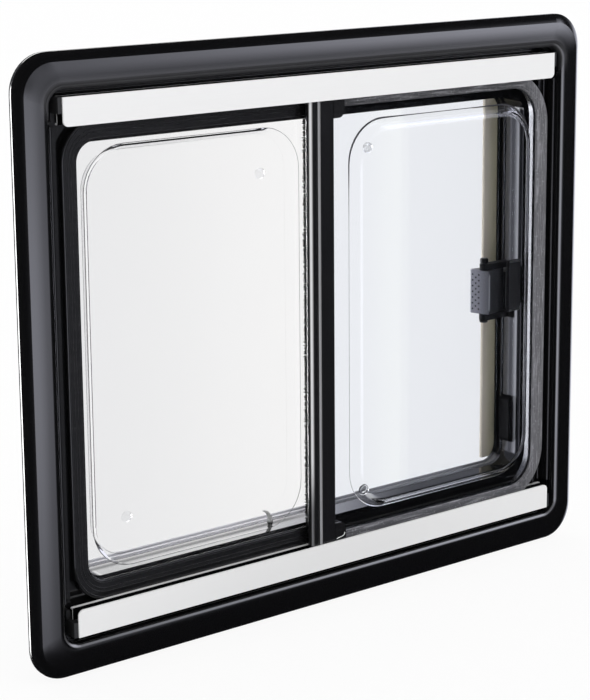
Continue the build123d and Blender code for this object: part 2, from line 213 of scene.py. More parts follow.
# %% Finishes
class Finish(Nodes):
    """A surface made of one Principled shader."""

    def __init__(self, name, **sockets):
        self.material = bpy.data.materials.new(name)
        self.material.use_nodes = True
        super().__init__(self.material.node_tree)
        self.base = self.tree.nodes.new("ShaderNodeBsdfPrincipled")
        self.end = self.tree.nodes.new("ShaderNodeOutputMaterial")
        self.tree.links.new(self.base.outputs[0], self.end.inputs[0])
        self.give(**sockets)

    def give(self, **sockets):
        """Feed the shader; an underscore stands for a space in a socket's name."""
        for key, value in sockets.items():
            self.feed(self.base.inputs[key.replace("_", " ")], value)

    def bump(self, height, depth, strength):
        """Small relief: height runs from 0 to 1, depth is in metres."""
        sockets = {"Height": height, "Distance": depth, "Strength": strength}
        self.give(Normal=self.node("ShaderNodeBump", None, sockets))


print("finishes ready:", Finish.__doc__)

# %% [markdown]
# ## Moulded black frame
# The frame is a satin black moulding. Its colour is almost nothing; what the eye sees is the sheen of a broad
# soft light on a swelling face. So the base is near black, the roughness is moderate and a little uneven, and
# a very fine grain breaks the sheen. Dust lies thinly in the recess, where nobody wipes. On the lip of the
# recess grey light is painted into the colour: a painted sheen above, and a painted highlight line below and
# on the right. Both are found by their distance from the recess's rounded outline. The rim's rear edge, which
# lies on the wall, and the slot above the upper rail are dead matt. A metal with a near-black base reflects
# nothing, so the masks for those places feed Metallic too.


# %% Frame finish
RECESS_X, RECESS_Z, RECESS_ROUND = 0.288, 0.238, 0.0125
MOULDING_SHINE = 0.72
DEEP_BLACK, PAINTED_LIP_HIGHLIGHT, DUST_GREY = (0.003, 0.003, 0.0034), (0.10, 0.10, 0.108), (0.05, 0.05, 0.052)


def dust_specks(f):
    return f.noise(700.0, 2.0, 0.7) ** 6.0


def frame_finish():
    f = Finish("moulded_black", Specular_IOR_Level=MOULDING_SHINE)
    across, depth, height = f.axis("X"), f.axis("Y"), f.axis("Z")
    cloud = f.noise(9.0, 3.0)
    dust = dust_specks(f) * depth.rise(-0.008, 0.0)
    aside = (across.size() - RECESS_X + RECESS_ROUND) | 0.0
    above = ((height - MIDDLE).size() - RECESS_Z + RECESS_ROUND) | 0.0
    away = (aside * aside + above * above) ** 0.5 - RECESS_ROUND
    top = height.rise(0.470, 0.490)
    shaded = height.fall(0.02, 0.04) | across.rise(0.272, 0.286)
    # Painted highlight: a grey sheen on the upper lip, and a grey highlight line on the lower and right lips.
    painted_upper_sheen = 0.34 * top * away.band(-0.0005, 0.005, 0.006, 0.012)
    painted_lip_line = shaded * away.band(0.0022, 0.0032, 0.0040, 0.0048)
    painted_lip_light = (painted_upper_sheen | painted_lip_line) * depth.fall(-0.004, -0.002)
    matt = depth.band(-0.0019, -0.0015, 0.0, 0.0006) | (top * away.fall(-0.0015, -0.0005))
    dull = matt | (top * away.fall(0.003, 0.005))
    skin = f.blend(painted_lip_light, DEEP_BLACK, PAINTED_LIP_HIGHLIGHT)
    f.give(Base_Color=f.blend(dust * 3.0, skin, DUST_GREY), Metallic=matt,
           Roughness=0.13 + 0.05 * cloud + 0.3 * dust + 0.75 * dull)
    f.bump(f.noise(1400.0, 1.0), 0.02 * MM, 0.6)
    return f.material


moulded_black = frame_finish()
print(moulded_black.name)

# %% [markdown]
# ## Polished reveal
# Inside the wall the same moulding is polished. A pale highlight is painted on the rear edge of its sill,
# most below the fixed pane, and the middle of that sill is a little dull. On the right jamb a grey reflection
# is painted as a panel and, beside it, a paler painted highlight; the two ends of the jamb are dead black.
# Each place is a band of depth on the sill or on the jamb.


# %% Reveal finish
PAINTED_JAMB_PALE = (0.91, 0.91, 0.96)


def reveal_finish():
    f = Finish("inner_black", Specular_IOR_Level=MOULDING_SHINE)
    across, depth, height = f.axis("X"), f.axis("Y"), f.axis("Z")
    dust = dust_specks(f)
    on_sill = height.band(0.066, 0.068, 0.073, 0.078)
    on_left = across.fall(-0.03, 0.03)
    on_jamb = across.band(0.2570, 0.2576, 0.2602, 0.2608)
    # Painted light: a pale highlight on the sill's rear edge, and on the jamb a grey painted reflection
    # beside a paler painted highlight.
    painted_sill_highlight = on_sill * depth.rise(0.0325, 0.034) * (0.3 + 0.7 * on_left)
    painted_jamb_reflection = 0.13 * depth.band(0.0245, 0.0265, 0.033, 0.0345)
    painted_jamb_highlight = 0.65 * depth.band(0.0145, 0.0155, 0.0155, 0.0225)
    pale = painted_sill_highlight | (on_jamb * (painted_jamb_reflection | painted_jamb_highlight))
    ends = depth.band(0.0095, 0.0105, 0.0135, 0.0145) | depth.rise(0.0345, 0.036)
    dull = 0.8 * on_sill * on_left * depth.band(0.019, 0.025, 0.026, 0.032)
    skin = f.blend(dust * 3.0, DEEP_BLACK, DUST_GREY)
    f.give(Base_Color=f.blend(pale, skin, PAINTED_JAMB_PALE), Metallic=(on_jamb * ends) | dull,
           Roughness=0.03 + 0.05 * f.noise(9.0, 3.0) + 0.3 * dust + 0.35 * dull)
    return f.material


inner_black = reveal_finish()
print(inner_black.name)

# %% [markdown]
# ## Silver-white rails
# The rails are drawn aluminium with a pale matt skin on the front plate and on the middle flange. The web and
# the rear flange sit in the dark gap behind the plate, and their shade is painted: a mask by depth makes them
# black and without reflection. Drawing leaves faint lines along the length, so the noise that varies the
# colour, the roughness and the relief is stretched along X. The lower rail's plate is painted darker as
# shade, most in its middle.


# %% Rail finish
ALONG_X = (0.4, 30.0, 30.0)


def rail_finish():
    f = Finish("pale_aluminium")
    across, depth, height = f.axis("X"), f.axis("Y"), f.axis("Z")
    lines = f.noise(60.0, 3.0, 0.6, stretch=ALONG_X)
    spots = f.noise(260.0, 2.0)
    # Painted shade: the web and the rear flange, which lie in a dark gap, are made black.
    painted_web_shade = depth.band(-0.0121, -0.0118, -0.0036, -0.0034) | depth.rise(0.0005, 0.0008)
    upper = f.blend(lines, (0.83, 0.83, 0.835), (0.865, 0.865, 0.87))
    # Painted shade: the lower rail's plate is darker, most in its middle.
    painted_middle_shade = across.band(-0.28, -0.02, 0.02, 0.24)
    painted_lower_shade = f.blend(painted_middle_shade, (0.85, 0.85, 0.855), (0.795, 0.795, 0.80))
    pale = f.blend(height.fall(0.1, 0.4), upper, painted_lower_shade)
    f.give(Base_Color=f.blend(painted_web_shade, pale, (0.006, 0.006, 0.0065)), Metallic=painted_web_shade,
           Roughness=0.34 + 0.08 * lines + 0.3 * painted_web_shade)
    f.bump((0.7 * lines + 0.3 * spots) * (1.0 - painted_web_shade), 0.02 * MM, 0.5)
    return f.material


pale_aluminium = rail_finish()
print(pale_aluminium.name)

# %% [markdown]
# ## Clear acrylic
# Each pane is two acrylic sheets bonded at the border. The sheets are solids with real thickness, so light
# bends in them by itself. Their tight bends would show as hard dark lines, which the real window hardly has,
# so the tray of the fixed pane and the sheets of the sash get a lower index of refraction, which softens
# them. Handling leaves faint smears, which show only as a very small change of roughness. The fixed pane is a
# little darker on the left, which a tint that changes along X gives. On the sash a reflection is painted into
# the tint: lighter on the left and darker to the right, with a lighter band that has a clear right edge. The
# vent plugs are mottled, those of the sash most.


# %% Acrylic finish
LEFT_PANE, RIGHT_PANE = (-0.29, 0.0), (0.02, 0.25)
PAINTED_REFLECTION_BAND = (0.026, 0.078, 0.084, 0.091)


def acrylic_finish(name, left, right, span, smear=0.02, bend=1.42, painted_reflection=None, mottle=0.0):
    f = Finish(name, Transmission_Weight=1.0, IOR=bend)
    cloud = f.noise(14.0, 3.0)
    across = f.axis("X")
    colour = f.blend(across.rise(*span) * 0.9 + 0.1 * cloud, left, right)
    # A band of painted reflection with a clear right edge.
    if painted_reflection:
        colour = f.blend(across.band(*PAINTED_REFLECTION_BAND), colour, painted_reflection)
    if mottle:
        specks = f.noise(650.0, 2.0, 0.7).rise(0.40, 0.62)
        colour = f.blend(mottle * specks, colour, (0.30, 0.30, 0.31))
    f.give(Base_Color=colour, Roughness=smear * cloud.rise(0.45, 0.8))
    return f.material


CLEAREST, SASH_PLUG = (0.99, 0.988, 0.988), (0.9, 0.905, 0.912)
clear_acrylic = acrylic_finish("clear_acrylic", (0.984, 0.984, 0.988), CLEAREST, LEFT_PANE)
soft_acrylic = acrylic_finish("soft_acrylic", (0.868, 0.870, 0.876), CLEAREST, LEFT_PANE, bend=1.035)
# Painted reflection: the sash's tint is lighter on the left and darker to the right.
cool_acrylic = acrylic_finish("cool_acrylic", (0.950, 0.960, 0.982), (0.932, 0.942, 0.963), RIGHT_PANE,
                              bend=1.3, painted_reflection=(0.976, 0.988, 1.0))
plug_acrylic = acrylic_finish("plug_acrylic", (0.965, 0.968, 0.972), (0.95, 0.955, 0.962), LEFT_PANE,
                              smear=0.05, bend=1.12, mottle=0.12)
sash_plug_acrylic = acrylic_finish("sash_plug_acrylic", SASH_PLUG, SASH_PLUG, RIGHT_PANE,
                                   smear=0.05, bend=1.16, mottle=0.55)
print(clear_acrylic.name, soft_acrylic.name, cool_acrylic.name, plug_acrylic.name, sash_plug_acrylic.name)

# %% [markdown]
# ## Rubber
# The fixed pane's gasket is clean black rubber, a little worn on its ribs. The sash's gasket is greyer, with
# the bloom and dust that sliding rubber collects, in specks of about half a millimetre and in streaks along
# its length: level above and below, upright on the right. The right run is palest, partly from dust and
# partly from a sheen painted where it catches the light. One function makes all three from two colours and
# the amount of dust.


# %% Rubber finish
LEVEL, PLUMB = (0.08, 1.0, 1.0), (1.0, 1.0, 0.08)


def rubber_finish(name, dark, dusty, dust, rough, right_dust_and_sheen=0.0):
    f = Finish(name, Specular_IOR_Level=0.4)
    upright = f.axis("X").rise(0.225, 0.262)
    cloud = f.noise(22.0, 3.0)
    fine = f.noise(1500.0, 3.0, 0.7)
    specks = f.noise(520.0, 2.0, 0.6).rise(0.58, 0.70)
    level = f.noise(520.0, 3.0, 0.65, stretch=LEVEL).rise(0.48, 0.72)
    plumb = f.noise(520.0, 3.0, 0.65, stretch=PLUMB).rise(0.48, 0.72)
    streaks = level * (1.0 - upright) + 0.6 * plumb * upright
    dust_and_sheen_film = 0.14 * upright + 0.2 * cloud + 0.3 * fine + 0.7 * specks + 0.95 * streaks
    # The right run is made paler by dust and by painted sheen.
    dust_and_sheen_film = dust * dust_and_sheen_film * (1.0 + right_dust_and_sheen * upright)
    f.give(Base_Color=f.blend(dust_and_sheen_film, dark, dusty), Roughness=rough + 0.18 * fine)
    f.bump(0.4 * fine + 0.3 * specks + 0.3 * streaks, 0.1 * MM, 0.8)
    return f.material


black_rubber = rubber_finish("black_rubber", (0.003, 0.003, 0.0033), (0.03, 0.03, 0.032), 0.22, 0.15)
worn_rubber = rubber_finish("worn_rubber", (0.005, 0.005, 0.0055), (0.05, 0.05, 0.053), 0.4, 0.2)
dusty_rubber = rubber_finish("dusty_rubber", (0.014, 0.014, 0.016), (0.26, 0.26, 0.28), 0.66, 0.24, right_dust_and_sheen=0.6)
print(black_rubber.name, worn_rubber.name, dusty_rubber.name)

# %% [markdown]
# ## Coats and moulded fittings
# The stile is a drawn section with a satin black coat, so its grain runs along Z. The latch is moulded
# plastic, and a spark-eroded mould leaves a fine even grain on it. One function makes these and the other
# small fittings from two colours and a grain, which is a stretch, a scale and a depth. A second colour may be
# laid on between two values along an axis. A pale painted sheen may lie along the same axis: it starts at one
# value, fades out between two more, and is weaker below its foot.


# %% Coated finish
def coated_finish(name, dark, light, rough, grain, second=None, span=(), axis="X", edge=None, shine=0.5):
    f = Finish(name, Specular_IOR_Level=shine)
    stretch, scale, depth = grain
    lines = f.noise(scale, 3.0, 0.6, stretch=stretch)
    cloud = f.noise(40.0, 2.0)
    colour = f.blend(0.6 * lines + 0.4 * cloud, dark, light)
    if second:
        low, high = span
        here = f.axis(axis).band(low - 0.3 * MM, low, high, high + 0.3 * MM)
        colour = f.blend(here * (0.8 + 0.2 * lines), colour, second)
    if edge:
        start, near, far, pale, foot = edge
        # Painted sheen along an edge, weaker below its foot.
        painted_edge_sheen = f.axis(axis).band(start, start + 1.2 * MM, near, far) * (0.85 + 0.15 * lines)
        colour = f.blend(painted_edge_sheen * f.axis("Z").rise(foot, foot + 0.06, 0.12, 1.0), colour, pale)
    f.give(Base_Color=colour, Roughness=rough + 0.12 * lines)
    f.bump(lines, depth, 0.7)
    return f.material


ALONG_Z, EVEN = (30.0, 30.0, 0.4), ()
MOULDED, SHALLOW, WORN = (EVEN, 1600.0, 0.05 * MM), (EVEN, 1600.0, 0.02 * MM), (EVEN, 900.0, 0.03 * MM)
FIBRES, DRAWN, TURNED = (EVEN, 900.0, 0.02 * MM), (ALONG_Z, 60.0, 0.02 * MM), (ALONG_Z, 400.0, 0.02 * MM)
dark_steel = coated_finish("dark_steel", (0.10, 0.10, 0.105), (0.2, 0.2, 0.205), 0.3, TURNED)
white_clip = coated_finish("white_clip", (0.86, 0.865, 0.87), (0.93, 0.935, 0.94), 0.3, WORN)
pile_black = coated_finish("pile_black", (0.003, 0.003, 0.003), (0.012, 0.012, 0.012), 0.7, FIBRES)
print(dark_steel.name, white_clip.name, pile_black.name)

# %% [markdown]
# ## Stile
# The stile has a grey insert between two values of X, its bead, and a bright sheen is painted near its left
# edge, weaker at its foot. Both are measured from the stile's left side.

# %% Stile finish
stile_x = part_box("sash_stile")[0].x
STILE_BEAD = (stile_x + 10.9 * MM, stile_x + 13.7 * MM)
# Span of the painted sheen near the stile's left edge.
STILE_PAINTED_SHEEN = (stile_x + 0.5 * MM, stile_x + 2.4 * MM, stile_x + 5.0 * MM)
STILE_FOOT = 0.08
stile_coat = coated_finish("satin_black_coat", (0.003, 0.003, 0.0035), (0.008, 0.008, 0.009), 0.16, DRAWN,
                           second=(0.28, 0.28, 0.29), span=STILE_BEAD,
                           edge=(*STILE_PAINTED_SHEEN, (0.70, 0.70, 0.71), STILE_FOOT))
print(stile_coat.name)

# %% [markdown]
# ## Latch
# The latch is black where it is fixed. The finger face, which lies left of the fold, is blue-grey: partly the
# grip's own grey and partly a sheen painted where it faces the light, paler away from the fold. A pale
# highlight is painted along the fold itself, and the studs are dull black. The front of the base is seen
# through the acrylic; it is greyer and has hardly any shine.

# %% Latch finishes
FOLD_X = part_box("latch_grip")[0].x + 6.9 * MM
LEFT_OF_GRIP, NO_FOOT = FOLD_X - 0.05, -1.0
GRIP_PAINTED_SHEEN = (LEFT_OF_GRIP, FOLD_X - 6.0 * MM, FOLD_X - 0.5 * MM)
LATCH_COAT = ((0.014, 0.014, 0.015), (0.026, 0.026, 0.028), 0.55, MOULDED)
latch_black = coated_finish("grained_black", *LATCH_COAT)
base_black = coated_finish("grained_base", *LATCH_COAT, second=(0.24, 0.24, 0.25), span=(-0.0055, -0.0048),
                           axis="Y", shine=0.08)
# Partly painted sheen: the finger face is lighter blue-grey, and paler still away from the fold.
latch_grey = coated_finish("grained_grey", (0.036, 0.036, 0.039), (0.060, 0.060, 0.065), 0.45, MOULDED,
                           second=(0.165, 0.165, 0.19), span=(LEFT_OF_GRIP, FOLD_X + 0.3 * MM),
                           edge=(*GRIP_PAINTED_SHEEN, (0.42, 0.42, 0.48), NO_FOOT))
stud_black = coated_finish("stud_black", (0.006, 0.006, 0.007), (0.014, 0.014, 0.015), 0.5, SHALLOW,
                           shine=0.03)
painted_fold_highlight = coated_finish("painted_fold_highlight", (0.30, 0.30, 0.32), (0.42, 0.42, 0.44), 0.4, WORN)
print(latch_black.name, base_black.name, latch_grey.name, stud_black.name, painted_fold_highlight.name)

# %% [markdown]
# ## Bright edge strip
# The strip behind the sash's closing edge is dark drawn metal. It stands on edge, so it mirrors the bright
# light at the back left and shows through the clear border as a pale band, with a dark gap where the latch
# stands in the way.


# %% Edge strip finish
def bare_metal_finish():
    f = Finish("bare_metal", Metallic=1.0)
    lines = f.noise(60.0, 3.0, 0.6, stretch=ALONG_Z)
    colour = f.blend(lines, (0.22, 0.22, 0.225), (0.32, 0.32, 0.325))
    f.give(Base_Color=colour, Roughness=0.22 + 0.1 * lines)
    f.bump(lines, 0.02 * MM, 0.4)
    return f.material


bright_strip = bare_metal_finish()
print(bright_strip.name)

# %% [markdown]
# ## Beige strips
# A soft strip runs down each jamb at the back of the reveal. It is beige and a little darker and greener
# towards the wall, with the fine lines of an extruded strip.


# %% Strip finish
def strip_finish():
    f = Finish("beige_strip")
    across = f.axis("X").size()
    lines = f.noise(50.0, 3.0, 0.6, stretch=(40.0, 40.0, 0.4))
    to_wall = across.rise(0.240, 0.255) * 0.9 + 0.1 * lines
    f.give(Base_Color=f.blend(to_wall, (0.98, 0.88, 0.74), (0.72, 0.66, 0.45)), Roughness=0.48 + 0.1 * lines)
    f.bump(lines, 0.06 * MM, 0.6)
    return f.material


beige_strip = strip_finish()
print(beige_strip.name)

# %% [markdown]
# ## Which piece wears which finish
# The record gives every solid a material slot. A table from slots to finishes dresses them all, and a second
# table holds the pieces that differ from the rest of their slot: the sash's sheets are cooler and its rubber
# is dusty, the inner tray of the fixed pane is softer, the reveal is polished, and a few small fittings have
# finishes of their own.

# %% Dress the solids
wardrobe = {
    "frame_black": moulded_black, "rail_silver": pale_aluminium, "acrylic": clear_acrylic,
    "rubber_black": black_rubber, "stile_black": stile_coat, "pile_black": pile_black,
    "latch_black": latch_black, "latch_grey": latch_grey, "pin_steel": dark_steel,
    "strip_beige": beige_strip, "plug_clear": plug_acrylic, "clip_white": white_clip}
special = {
    "sash_gasket": dusty_rubber, "sash_flat_sheet": cool_acrylic, "sash_dome_sheet": cool_acrylic,
    "fixed_pane_tray_sheet": soft_acrylic, "frame_reveal": inner_black, "sash_edge_strip": bright_strip,
    "latch_base": base_black, "sash_slide_shoes": black_rubber, "sash_plugs": sash_plug_acrylic,
    "jamb_stop": stud_black}
for row in frame["record"]["subparts"]:
    piece = solids[row["node"]]
    piece.data.materials.clear()
    piece.data.materials.append(special.get(row["node"], wardrobe[row["material_slot"]]))

# %% [markdown]
# ## Making fine pieces
# The fine pieces are plain meshes. One function turns points and faces into an object that belongs to the
# window, and one joins several small meshes into one.


# %% Pieces from points and faces
def make_piece(name, points, faces, finish, slot, smooth=True):
    mesh = bpy.data.meshes.new(name)
    mesh.from_pydata(points, [], faces)
    skin = bmesh.new()
    skin.from_mesh(mesh)
    bmesh.ops.recalc_face_normals(skin, faces=skin.faces)
    skin.to_mesh(mesh)
    skin.free()
    mesh.materials.append(finish)
    mesh.polygons.foreach_set("use_smooth", [smooth] * len(mesh.polygons))
    thing = bpy.data.objects.new(name, mesh)
    scene.collection.objects.link(thing)
    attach(thing, "root")
    return thing


def joined(meshes):
    """Points and faces of several meshes as one."""
    points, faces = [], []
    for more, sides in meshes:
        faces += [tuple(len(points) + k for k in face) for face in sides]
        points += more
    return points, faces


print("pieces ride on root")

# %% [markdown]
# ## Beads
# Ribs, bend lines, knobs and clips are all beads: a small round section swept along a line of points, with a
# thickness that may change on the way. A curve with a bevel would do, but points and faces keep the mesh
# plain and its ends closed. A second function gives the closed line of a rounded frame in X and Z.


# %% Beads and rounded lines
ARC_STEPS, SIDE_STEPS = 10, 12


def swept(line, thickness, closed, sides=6):
    """Points and faces of a round bead along a line; thickness is a radius for each point."""
    points, faces = [], []
    last = len(line) - 1
    for i, spot in enumerate(line):
        before = line[i - 1] if closed or i else line[0]
        after = line[(i + 1) % len(line)] if closed or i < last else line[last]
        along = (after - before).normalized()
        side = along.cross(Vector((0, 1, 0))).normalized()
        up = side.cross(along)
        for k in range(sides):
            turn = 2 * math.pi * k / sides
            points.append(spot + thickness[i] * (math.cos(turn) * side + math.sin(turn) * up))
    for i in range(len(line) if closed else last):
        j = (i + 1) % len(line)
        for k in range(sides):
            m = (k + 1) % sides
            faces.append((i * sides + k, j * sides + k, j * sides + m, i * sides + m))
    if not closed:
        faces += [tuple(range(sides)), tuple(range(len(points) - 1, len(points) - 1 - sides, -1))]
    return points, faces


def rounded(x0, x1, half, r, y):
    """Closed line of a rounded rectangle round the window's middle height, from the upper left on."""
    corners = [(x0 + r, half - r, 180), (x1 - r, half - r, 90),
               (x1 - r, r - half, 0), (x0 + r, r - half, -90)]
    line = []
    for n, (cx, cz, start) in enumerate(corners):
        for k in range(ARC_STEPS + 1):
            turn = math.radians(start - 90 * k / ARC_STEPS)
            line.append(Vector((cx + r * math.cos(turn), y, MIDDLE + cz + r * math.sin(turn))))
        nx, nz, following = corners[(n + 1) % 4]
        turn = math.radians(following)
        goal = Vector((nx + r * math.cos(turn), y, MIDDLE + nz + r * math.sin(turn)))
        line += [line[-1].lerp(goal, k / SIDE_STEPS) for k in range(1, SIDE_STEPS)]
    return line


print("beads ready")

# %% [markdown]
# ## Ribs on the gaskets
# Both gaskets are extruded, and the die leaves fine ribs along their faces. Each rib is a thin bead that
# follows the rounded outline at a share of the way from the outer to the inner edge, at a depth and with a
# thickness in millimetres. The stile covers one side of each gasket, so there the rounded line runs far past
# the gasket and is cut at its end.


# %% Gasket ribs
PAST_STILE = 0.3


def ribs(name, node, inset, radii, rows, stile_on_right, finish):
    low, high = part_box(node)
    cut = high.x - 0.6 * MM if stile_on_right else low.x + 0.6 * MM
    beads = []
    for share, depth, thick in rows:
        x0 = low.x + share * inset[0] if stile_on_right else low.x - PAST_STILE
        x1 = high.x + PAST_STILE if stile_on_right else high.x - share * inset[0]
        half = (high.z - low.z) / 2 - share * inset[1]
        line = rounded(x0, x1, half, radii[0] + (radii[1] - radii[0]) * share, low.y + depth * MM)
        keep = [v for v in line if low.x + 0.5 * MM < v.x < high.x - 0.5 * MM]
        start = max(range(len(keep)), key=lambda i: (keep[i] - keep[i - 1]).length)
        keep = keep[start:] + keep[:start]
        first, last = keep[0], keep[-1]
        keep = [Vector((cut, first.y, first.z)), *keep, Vector((cut, last.y, last.z))]
        beads.append(swept(keep, [thick * MM] * len(keep), False))
    return make_piece(name, *joined(beads), finish, "rubber_black")


fixed_rows = [(0.16, 0.05, 0.35), (0.42, 0.02, 0.3), (0.6, 0.02, 0.3), (0.86, 0.1, 0.4)]
sash_rows = [(0.3, 0.02, 0.3), (0.54, 0.02, 0.3), (0.74, 0.5, 0.35), (0.9, 1.3, 0.4)]
ribs("fixed_gasket_ribs", "fixed_pane_gasket", (15 * MM, 19 * MM), (36 * MM, 17.5 * MM), fixed_rows,
     stile_on_right=True, finish=worn_rubber)
ribs("sash_gasket_ribs", "sash_gasket", (15 * MM, 16 * MM), (52 * MM, 30 * MM), sash_rows,
     stile_on_right=False, finish=dusty_rubber)
print("gasket ribs", len(fixed_rows) + len(sash_rows))

# %% [markdown]
# ## Tight bend of the dome
# Where a formed sheet leaves its flat border, the bend is so tight that it turns the line of sight aside and
# shows as a fine grey line. On the sash the line is dark, wider above, and widest at the upper left corner.
# This line is painted: a slim dark bead of half-clear acrylic lies in the bend and stands for it.


# %% Dome's bend line
def painted_line_finish(name, dark, light, clear):
    f = Finish(name, Transmission_Weight=clear, IOR=1.2, Specular_IOR_Level=0.1)
    cloud = f.noise(30.0, 2.0)
    f.give(Base_Color=f.blend(cloud, dark, light), Roughness=0.4 + 0.1 * cloud)
    return f.material


def bend_line(name, line, thickness, finish):
    return make_piece(name, *swept(line, thickness, True), finish, "acrylic")


# A dark bead that paints the bend's line.
dark_bend = painted_line_finish("dark_bend", (0.05, 0.05, 0.06), (0.10, 0.10, 0.115), 0.35)
BEND_HALF, BEND_ROUND, CORNER_IN = 187 * MM, 40 * MM, 12 * MM
stile_low, stile_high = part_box("sash_stile")
dome_x0, dome_x1 = stile_high.x + 18.7 * MM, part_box("sash_gasket")[1].x - 23 * MM
dome_foot = rounded(dome_x0, dome_x1, BEND_HALF, BEND_ROUND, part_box("sash_dome_sheet")[1].y - 2 * MM)
corner = Vector((dome_x0 + CORNER_IN, dome_foot[0].y, MIDDLE + BEND_HALF - CORNER_IN))
far_corner = Vector((dome_x1 - CORNER_IN, dome_foot[0].y, corner.z))
upper_edge = MIDDLE + BEND_HALF - 1 * MM
widths = []
for v in dome_foot:
    near = min((v - corner).length, 1.25 * (v - far_corner).length)
    widths.append(((0.4 if v.z > upper_edge else 0.2) + 0.8 * math.exp(-(near / 0.045) ** 2)) * MM)
bend_line("dome_foot_line", dome_foot, widths, dark_bend)
print("widest", round(max(widths) / MM, 2), "mm")

# %% [markdown]
# ## Tight bends of the tray
# On the fixed pane two pale lines are painted the same way, at the foot and at the shoulder of the tray. Both
# fade towards the stile, so their beads grow thinner that way.

# %% Tray's bend lines
# Pale beads that paint the tray's lines.
pale_bend = painted_line_finish("pale_bend", (0.20, 0.20, 0.21), (0.30, 0.30, 0.31), 0.5)
SHOULDER_IN = 6.0 * MM
tray_low, tray_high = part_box("fixed_pane_tray_sheet")
tray_x0, tray_x1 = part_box("fixed_pane_gasket")[0].x + 23.6 * MM, stile_low.x + 2 * MM
tray_foot = rounded(tray_x0, tray_x1, BEND_HALF, BEND_ROUND, tray_low.y + 2.2 * MM)
shoulder = rounded(tray_x0 + SHOULDER_IN, tray_x1 - SHOULDER_IN, BEND_HALF - SHOULDER_IN,
                   BEND_ROUND - SHOULDER_IN, tray_high.y - 4.0 * MM)
fade = [max(0.0, 1.0 - (v.x - tray_x0) / (0.7 * (tray_x1 - tray_x0))) for v in tray_foot]
bend_line("tray_foot_line", tray_foot, [(0.2 + 0.16 * k) * MM for k in fade], pale_bend)
bend_line("tray_shoulder_line", shoulder, [(0.02 + 0.3 * k) * MM for k in fade], pale_bend)
print("tray lines", len(tray_foot), "points each")

# %% [markdown]
# ## Pile seal
# A strip of pile between the stile and the fixed pane keeps out draughts. Its bristles fan out where they
# meet the pane, so the stile's edge looks ragged. Each tuft is a slim three-sided spike with its own lean.


# %% Bristles
def bristles():
    dice = random.Random(7)
    low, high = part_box("stile_brush")
    sides = [(ring + k, ring + (k + 1) % 3, ring + 3 + (k + 1) % 3, ring + 3 + k)
             for ring in (0, 3) for k in range(3)]
    ends = [(2, 1, 0), (6, 7, 8)]
    tufts = []
    z = low.z - 3 * MM
    while z < high.z + 3 * MM:
        wide = dice.uniform(0.6, 1.1) * MM
        root = Vector((low.x + dice.uniform(1.0, 3.0) * MM, low.y + 0.1 * MM, z))
        lean = dice.uniform(0.2, 1.5) if dice.random() < 0.85 else dice.uniform(1.3, 2.3)
        tip = Vector((low.x - lean * MM, high.y - dice.uniform(0.05, 0.6) * MM,
                      z + dice.uniform(-0.8, 0.8) * MM))
        points = []
        for spot, size in ((root, wide), (root.lerp(tip, 0.6), 0.9 * wide), (tip, 0.35 * wide)):
            points += [spot + Vector((0, 0, size)), spot + Vector((size, 0, -0.5 * size)),
                       spot + Vector((-size, 0, -0.5 * size))]
        tufts.append((points, sides + ends))
        z += dice.uniform(0.28, 0.5) * MM
    brush = make_piece("pile_bristles", *joined(tufts), pile_black, "pile_black", smooth=False)
    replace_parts(brush, "stile_brush")
    return len(tufts)


print("tufts", bristles())

# %% [markdown]
# ## Grip of the latch
# Fingers pull the grip by three staggered columns of small studs near its free edge. They stand on the
# sloping finger face, whose plan line runs from the fold back into the room. A ray cast back along that
# face's normal finds the place of each stud, which is a low dome pushed out along it.


# %% Studs on the grip
STUD_SIZE, STUD_SWELL, STUD_STEP = 0.9 * MM, 0.35, 5.8 * MM
STUD_COLUMNS = ((0.56, 7), (0.73, 6), (0.90, 7))
RINGS, AROUND = 3, 10


def stud(centre, along, out):
    """Points and faces of a low dome on a face that runs along one way and looks out."""
    points, faces = [], []
    for ring in range(RINGS):
        lift = 0.5 * math.pi * ring / RINGS
        for m in range(AROUND):
            turn = 2 * math.pi * m / AROUND
            flat = STUD_SIZE * math.cos(lift) * (math.cos(turn) * along + math.sin(turn) * Vector((0, 0, 1)))
            points.append(centre + flat + out * STUD_SWELL * STUD_SIZE * math.sin(lift))
    points.append(centre + out * STUD_SWELL * STUD_SIZE)
    for a in range(0, (RINGS - 1) * AROUND, AROUND):
        for m in range(AROUND):
            q = (m + 1) % AROUND
            faces.append((a + m, a + q, a + AROUND + q, a + AROUND + m))
    top = (RINGS - 1) * AROUND
    faces += [(top + m, top + (m + 1) % AROUND, RINGS * AROUND) for m in range(AROUND)]
    return points, faces


def grip_studs():
    grip = solids["latch_grip"]
    low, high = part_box("latch_grip")
    fold, tip = Vector((FOLD_X, low.y, 0)), Vector((low.x, high.y - 3 * MM, 0))
    along = (tip - fold).normalized()
    out = Vector((-along.y, along.x, 0))
    middle = (low.z + high.z) / 2
    domes = []
    for share, count in STUD_COLUMNS:
        for k in range(count):
            height = Vector((0, 0, middle + (k - (count - 1) / 2) * STUD_STEP))
            spot = grip.ray_cast(fold.lerp(tip, share) + out * 5 * MM + height, -out)[1]
            domes.append(stud(spot, along, out))
    make_piece("grip_studs", *joined(domes), stud_black, "latch_black")
    return len(domes)


print("studs", grip_studs())

# %% [markdown]
# ## Fold of the latch
# A pale highlight is painted along the fold between the finger face and the cheek, as a slim pale bead.

# %% Fold bead
BEAD_STEPS = 12
grip_low, grip_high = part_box("latch_grip")
bead_long = grip_high.z - grip_low.z - 4 * MM
heights = [grip_low.z + 2 * MM + k * bead_long / BEAD_STEPS for k in range(BEAD_STEPS + 1)]
